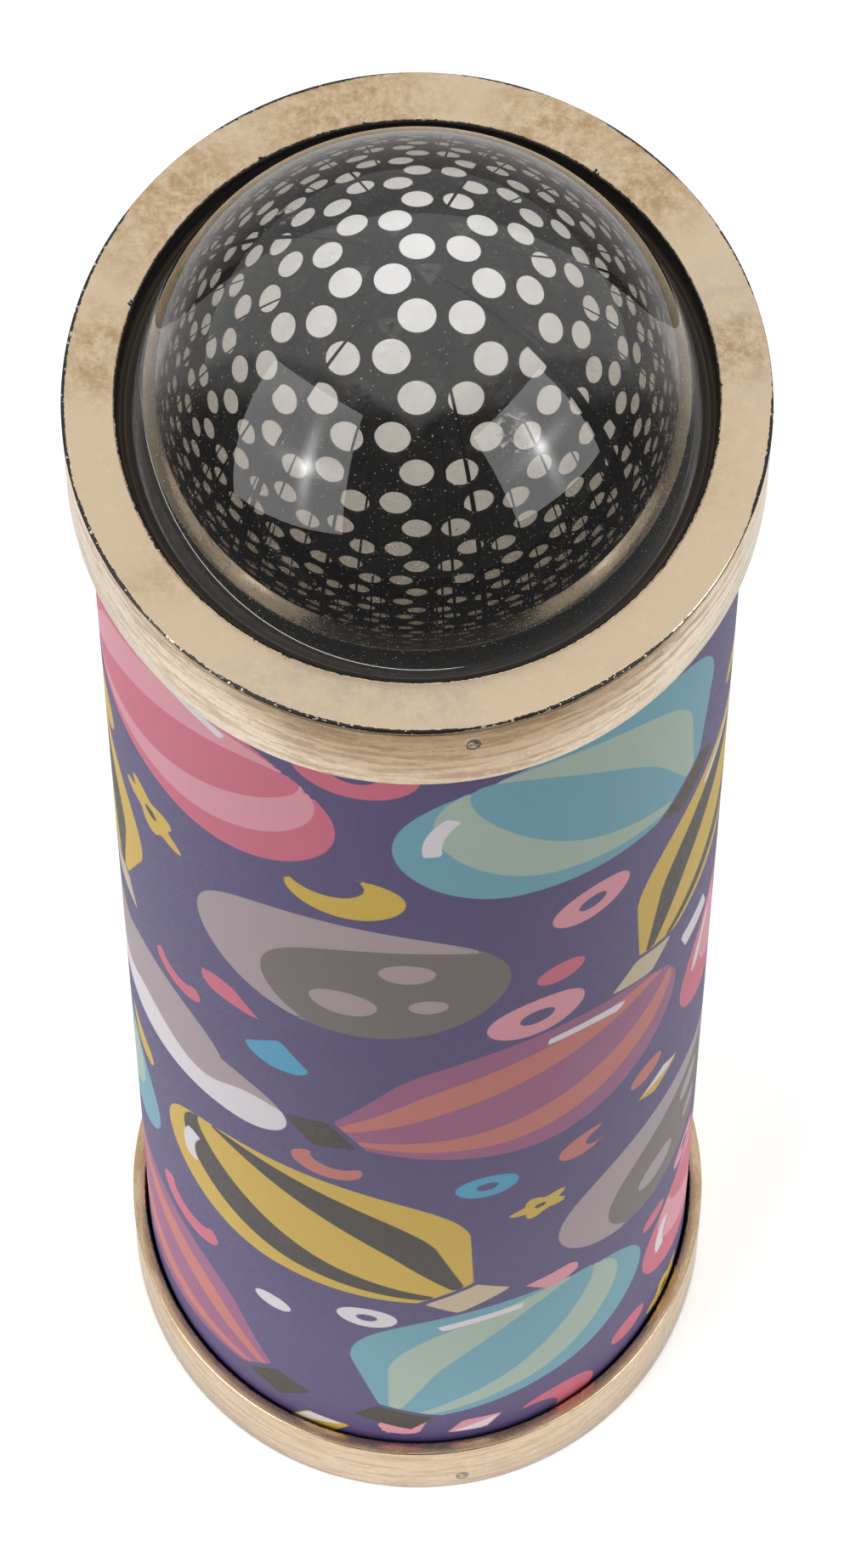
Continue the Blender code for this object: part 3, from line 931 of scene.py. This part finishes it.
def makeFilm(name, colour, weight, roughness):
    look = filmLook
    n = Finish(name, colour, roughness)
    n.set("IOR", look["index"])
    haze = n.noise(n.place(), **look["haze"])
    n.set("Transmission Weight", n.spread(haze, *look["weightCut"], weight, weight - look["hazeBy"]))
    n.set("Roughness", n.spread(haze, *look["roughCut"], roughness, roughness + look["hazeBy"]))
    hazed = tuple(part * look["hazeTint"] for part in colour[:3]) + (1.0,)
    n.set("Base Color", n.mix(haze, colour, hazed))
    return n.material


# painted shade: the collar board, the sleeve card and the foam are coloured black so that the inside of the
# tube stays dark
paintedShadeBoard = makeBoard("paintedShadeBoard", toLinear(12, 11, 10), toLinear(6, 6, 5), 0.85, 500)
kraftBoard = makeBoard("kraftBoard", toLinear(176, 144, 106), toLinear(128, 100, 70), 0.85, 420)
paintedShadeCard = makeBoard("paintedShadeCard", toLinear(15, 14, 13), toLinear(8, 7, 7), 0.85, 600)
paintedShadeFoam = makeBoard("paintedShadeFoam", toLinear(18, 18, 18), toLinear(8, 8, 8), 0.95, 900)
clearTape = makeFilm("clearTape", toLinear(224, 214, 182), 0.6, 0.2)
clearFilm = makeFilm("clearFilm", (0.97, 0.97, 0.97, 1.0), 1.0, 0.0)
mirrorCoat = makeMirrorFinish()
blackPlastic = makePlastic("blackPlastic", toLinear(54, 44, 36), 0.38, 1600)


def dress(node, material):
    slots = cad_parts[node].data.materials
    slots.clear()
    slots.append(material)


dress("body_tube", kraftBoard)
# the sleeve and the foam take their black as painted shade
dress("mirror_sleeve", paintedShadeCard)
dress("eye_window", clearFilm)
for letter in "abc":
    dress("mirror_" + letter, mirrorCoat)
    dress("foam_packing_" + letter, paintedShadeFoam)
for end in ("front", "rear"):
    dress("sleeve_tape_" + end, clearTape)


def makeCollar():
    look = insideLook
    low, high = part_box("front_collar")
    outer = high.x
    inner = outer - look["collarWall"]
    corners = [(inner, low.z), (outer, low.z), (outer, high.z), (inner, high.z)]
    rounds = {index: look["collarRound"] for index in range(4)}
    work = bmesh.new()
    closedProfile(work, corners, rounds, look["collarSegments"])
    spinAll(work, look["steps"])
    finishMesh("frontCollar", work, paintedShadeBoard, "barrel", ["front_collar"])


def makeEyeDisc():
    look = insideLook
    low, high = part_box("eye_disc")
    front = high.z
    rear = front - look["discThickness"]
    hole = look["eyeHole"]
    boss = hole + look["bossWidth"]
    corners = [(hole, front), (high.x, front), (high.x, rear), (boss, rear), (boss, low.z), (hole, low.z)]
    size = look["discRound"]
    work = bmesh.new()
    closedProfile(work, corners, {1: size / 2, 2: size / 2, 3: size, 4: size, 5: size})
    spinAll(work, look["steps"])
    finishMesh("eyeDisc", work, blackPlastic, "barrel", ["eye_disc"])


makeCollar()
makeEyeDisc()
print("inside made")


# studio

studio = {
    "floorSize": 3.0,
    "floorGap": 0.02 * mm,       # keeps the floor off the cap's face
    "floorRough": 0.9,
    "sheet": (0.88, 0.88, 0.88, 1.0),
    "bench": (0.62, 0.54, 0.46, 1.0),
    "dark": (0.012, 0.011, 0.010, 1.0),
    "darkBehind": (0.20, 0.18, 0.15, 1.0),
    "behindFrom": (-0.02, 0.08),
    "sheetEdge": -0.055,         # the white sheet ends here in front, on a slant
    "edgeSlant": 0.2,
    "edgeSoft": 0.003,
    "dimFrom": 0.10,             # beyond these distances the bench falls into the dark, less soon behind
    "dimTo": 0.17,
    "fade": (0.10, 0.30, 1.0, 0.5),     # from here to there behind, from all of it to half
    "viewGlow": 0.80,            # what the floor under the toy adds for the view down the tube
    "viewReach": 0.024,
    "sheetGlow": 0.15,           # a glow that the sheet gives off though it is no lamp, which the lamps top up
    "cameraLift": 0.20,          # what the camera sees besides, so that the backdrop is white
    "backdrop": 0.80,
    "backdropSpread": 0.75,      # the backdrop's edge goes back so much to either side
    "backdropEdge": 0.5,
    "backdropSoft": 0.05,
    "room": 0.10,
    "ceilingFrom": (0.35, 0.6),
    "ceilingFront": (-0.41, -0.35),
    "overGlass": 0.25,           # what the glass shows from overhead
}
boxLook = {
    "radiance": 2.6,
    "distance": 0.62,
    # the lamp's soft cross behind the cloth: strength, and width across and along
    "glows": [(5.5, 0.028, 0.16), (2.6, 0.14, 0.035), (8.0, 0.028, 0.03)],
}
softBoxes = {
    "leftBox": {
        "aim": (-0.767, -0.460, 0.446), "roll": 28,
        "width": 0.55, "height": 0.62, "glowAt": (0.08, -0.02),
    },
    "rightBox": {
        "aim": (0.761, -0.431, 0.485), "roll": -11.5,
        "width": 0.455, "height": 0.48, "glowAt": (0, 0),
    },
}


def makeFloorFinish():
    n = Finish("studioFloor", studio["sheet"], studio["floorRough"], specular=0.0)
    x, y = n.parts(n.place())[:2]
    # a small white sheet lies under the toy, its front edge across a dim bench
    edge = n.plus(studio["sheetEdge"], n.times(x, studio["edgeSlant"]))
    sheet = n.spread(n.minus(y, edge), -studio["edgeSoft"], studio["edgeSoft"])
    distance = n.length(x, n.least(y, 0.0))
    near = n.spread(n.minus(distance, n.most(y, 0.0)), studio["dimTo"], studio["dimFrom"])
    near = n.times(near, n.spread(y, *studio["fade"]))
    path = n.add("ShaderNodeLightPath").outputs
    camera = path["Is Camera Ray"]
    # the camera sees the white sheet all round
    sheet = n.most(n.times(sheet, near), camera)
    dark = n.mix(n.spread(y, *studio["behindFrom"]), studio["dark"], studio["darkBehind"])
    bench = n.mix(near, dark, studio["bench"])
    n.set("Base Color", n.mix(sheet, bench, studio["sheet"]))
    # painted light: the sheet glows as if it were a lamp, which the lamps top up, and the floor under the
    # toy glows for rays through glass, lighting the view down the eye hole
    under = n.calc("LESS_THAN", n.length(x, y), studio["viewReach"])
    view = n.times(path["Is Transmission Ray"], under)
    lift = n.times(sheet, studio["sheetGlow"])
    lift = n.plus(lift, n.times(camera, studio["cameraLift"]))
    lift = n.plus(lift, n.times(view, studio["viewGlow"]))
    n.set("Emission Color", (1, 1, 1, 1))
    n.set("Emission Strength", lift)
    # from below the floor is clear, so that the eyepiece shows
    back = n.add("ShaderNodeNewGeometry").outputs["Backfacing"]
    clear = n.add("ShaderNodeBsdfTransparent").outputs[0]
    oneSided = n.add("ShaderNodeMixShader", {0: back, 1: n.shader.outputs[0], 2: clear})
    n.put(n.tree.nodes["Material Output"].inputs["Surface"], oneSided.outputs[0])
    return n.material


def makeFloor():
    work = bmesh.new()
    bmesh.ops.create_grid(work, x_segments=1, y_segments=1, size=studio["floorSize"])
    bmesh.ops.translate(work, verts=work.verts, vec=(0, 0, -studio["floorGap"]))
    mesh = bpy.data.meshes.new("studioFloor")
    work.to_mesh(mesh)
    work.free()
    mesh.materials.append(makeFloorFinish())
    floor = bpy.data.objects.new("studioFloor", mesh)
    bpy.context.scene.collection.objects.link(floor)


def makeWorld():
    world = bpy.data.worlds.new("studio")
    bpy.context.scene.world = world
    world.use_nodes = True
    n = NodeTree(world.node_tree)
    x, y, z = n.parts(n.place("Generated"))
    # the white backdrop curves up behind and over; the room in front is dim
    side = n.times(n.calc("ABSOLUTE", x), studio["backdropSpread"])
    behind = n.plus(n.minus(y, side), studio["backdropEdge"])
    soft = studio["backdropSoft"]
    shade = n.spread(behind, -soft, soft, studio["room"], studio["backdrop"])
    # glass shows white round about and high in front, and the dim ceiling between
    path = n.add("ShaderNodeLightPath").outputs
    camera, transmission = path["Is Camera Ray"], path["Is Transmission Ray"]
    ceiling = n.times(n.spread(z, *studio["ceilingFrom"]), n.spread(y, *studio["ceilingFront"]))
    glass = n.minus(1.0, n.times(ceiling, 1.0 - studio["overGlass"]))
    glass = n.times(transmission, glass)
    other = n.minus(1.0, n.most(camera, transmission))
    background = n.tree.nodes["Background"]
    n.put(background.inputs["Color"], (1, 1, 1, 1))
    n.put(background.inputs["Strength"], n.plus(n.times(shade, other), n.most(camera, glass)))


def makeSoftBox(name, box):
    # a large diffuser, whose lamp glows through as a soft cross
    light = bpy.data.lights.new(name, "AREA")
    light.shape = "RECTANGLE"
    light.size = box["width"]
    light.size_y = box["height"]
    light.energy = box["width"] * box["height"] * math.pi
    light.use_nodes = True
    n = NodeTree(light.node_tree)
    u, v = n.parts(n.add("ShaderNodeNewGeometry").outputs["Parametric"])[:2]
    across = n.minus(n.times(n.minus(u, 0.5), box["width"]), box["glowAt"][0])
    along = n.minus(n.times(n.minus(v, 0.5), box["height"]), box["glowAt"][1])
    glow = 0.0
    for strength, widthAcross, widthAlong in boxLook["glows"]:
        squares = n.squares(n.over(across, widthAcross), n.over(along, widthAlong))
        glow = n.plus(glow, n.times(n.calc("EXPONENT", n.times(squares, -1.0)), strength))
    n.put(n.tree.nodes["Emission"].inputs["Strength"], n.plus(glow, boxLook["radiance"]))
    towards = Vector(box["aim"]).normalized()
    lamp = bpy.data.objects.new(name, light)
    lamp.location = domeCentre + towards * boxLook["distance"]
    lamp.rotation_euler = (-towards).to_track_quat("-Z", "Y").to_euler()
    lamp.rotation_euler.rotate_axis("Z", math.radians(box["roll"]))
    lamp.visible_camera = False
    lamp.visible_transmission = False
    bpy.context.scene.collection.objects.link(lamp)


makeFloor()
makeWorld()
for boxName, softBox in softBoxes.items():
    makeSoftBox(boxName, softBox)


# camera

cameraLook = {
    "elevation": 70.3,
    "distance": 0.679,
    "target": (0.00054, 0, 0.1028),
    "lens": 222.4,
    "sensor": 36,
    "clipStart": 0.01,
    "roll": 0.11,
}


def makeCamera():
    look = cameraLook
    rise = math.radians(look["elevation"])
    back = Vector((0, -math.cos(rise), math.sin(rise)))
    data = bpy.data.cameras.new("camera")
    data.lens = look["lens"]
    data.sensor_width = look["sensor"]
    data.clip_start = look["clipStart"]
    camera = bpy.data.objects.new("camera", data)
    camera.location = Vector(look["target"]) + back * look["distance"]
    camera.rotation_euler = (-back).to_track_quat("-Z", "Y").to_euler()
    camera.rotation_euler.rotate_axis("Z", math.radians(look["roll"]))
    bpy.context.scene.collection.objects.link(camera)
    bpy.context.scene.camera = camera


makeCamera()
scene = bpy.context.scene
scene.view_settings.view_transform = "Standard"
# the view down the tube takes many mirror bounces
scene.cycles.max_bounces = 40
scene.cycles.glossy_bounces = 32
scene.cycles.transmission_bounces = 16
print("studio set")
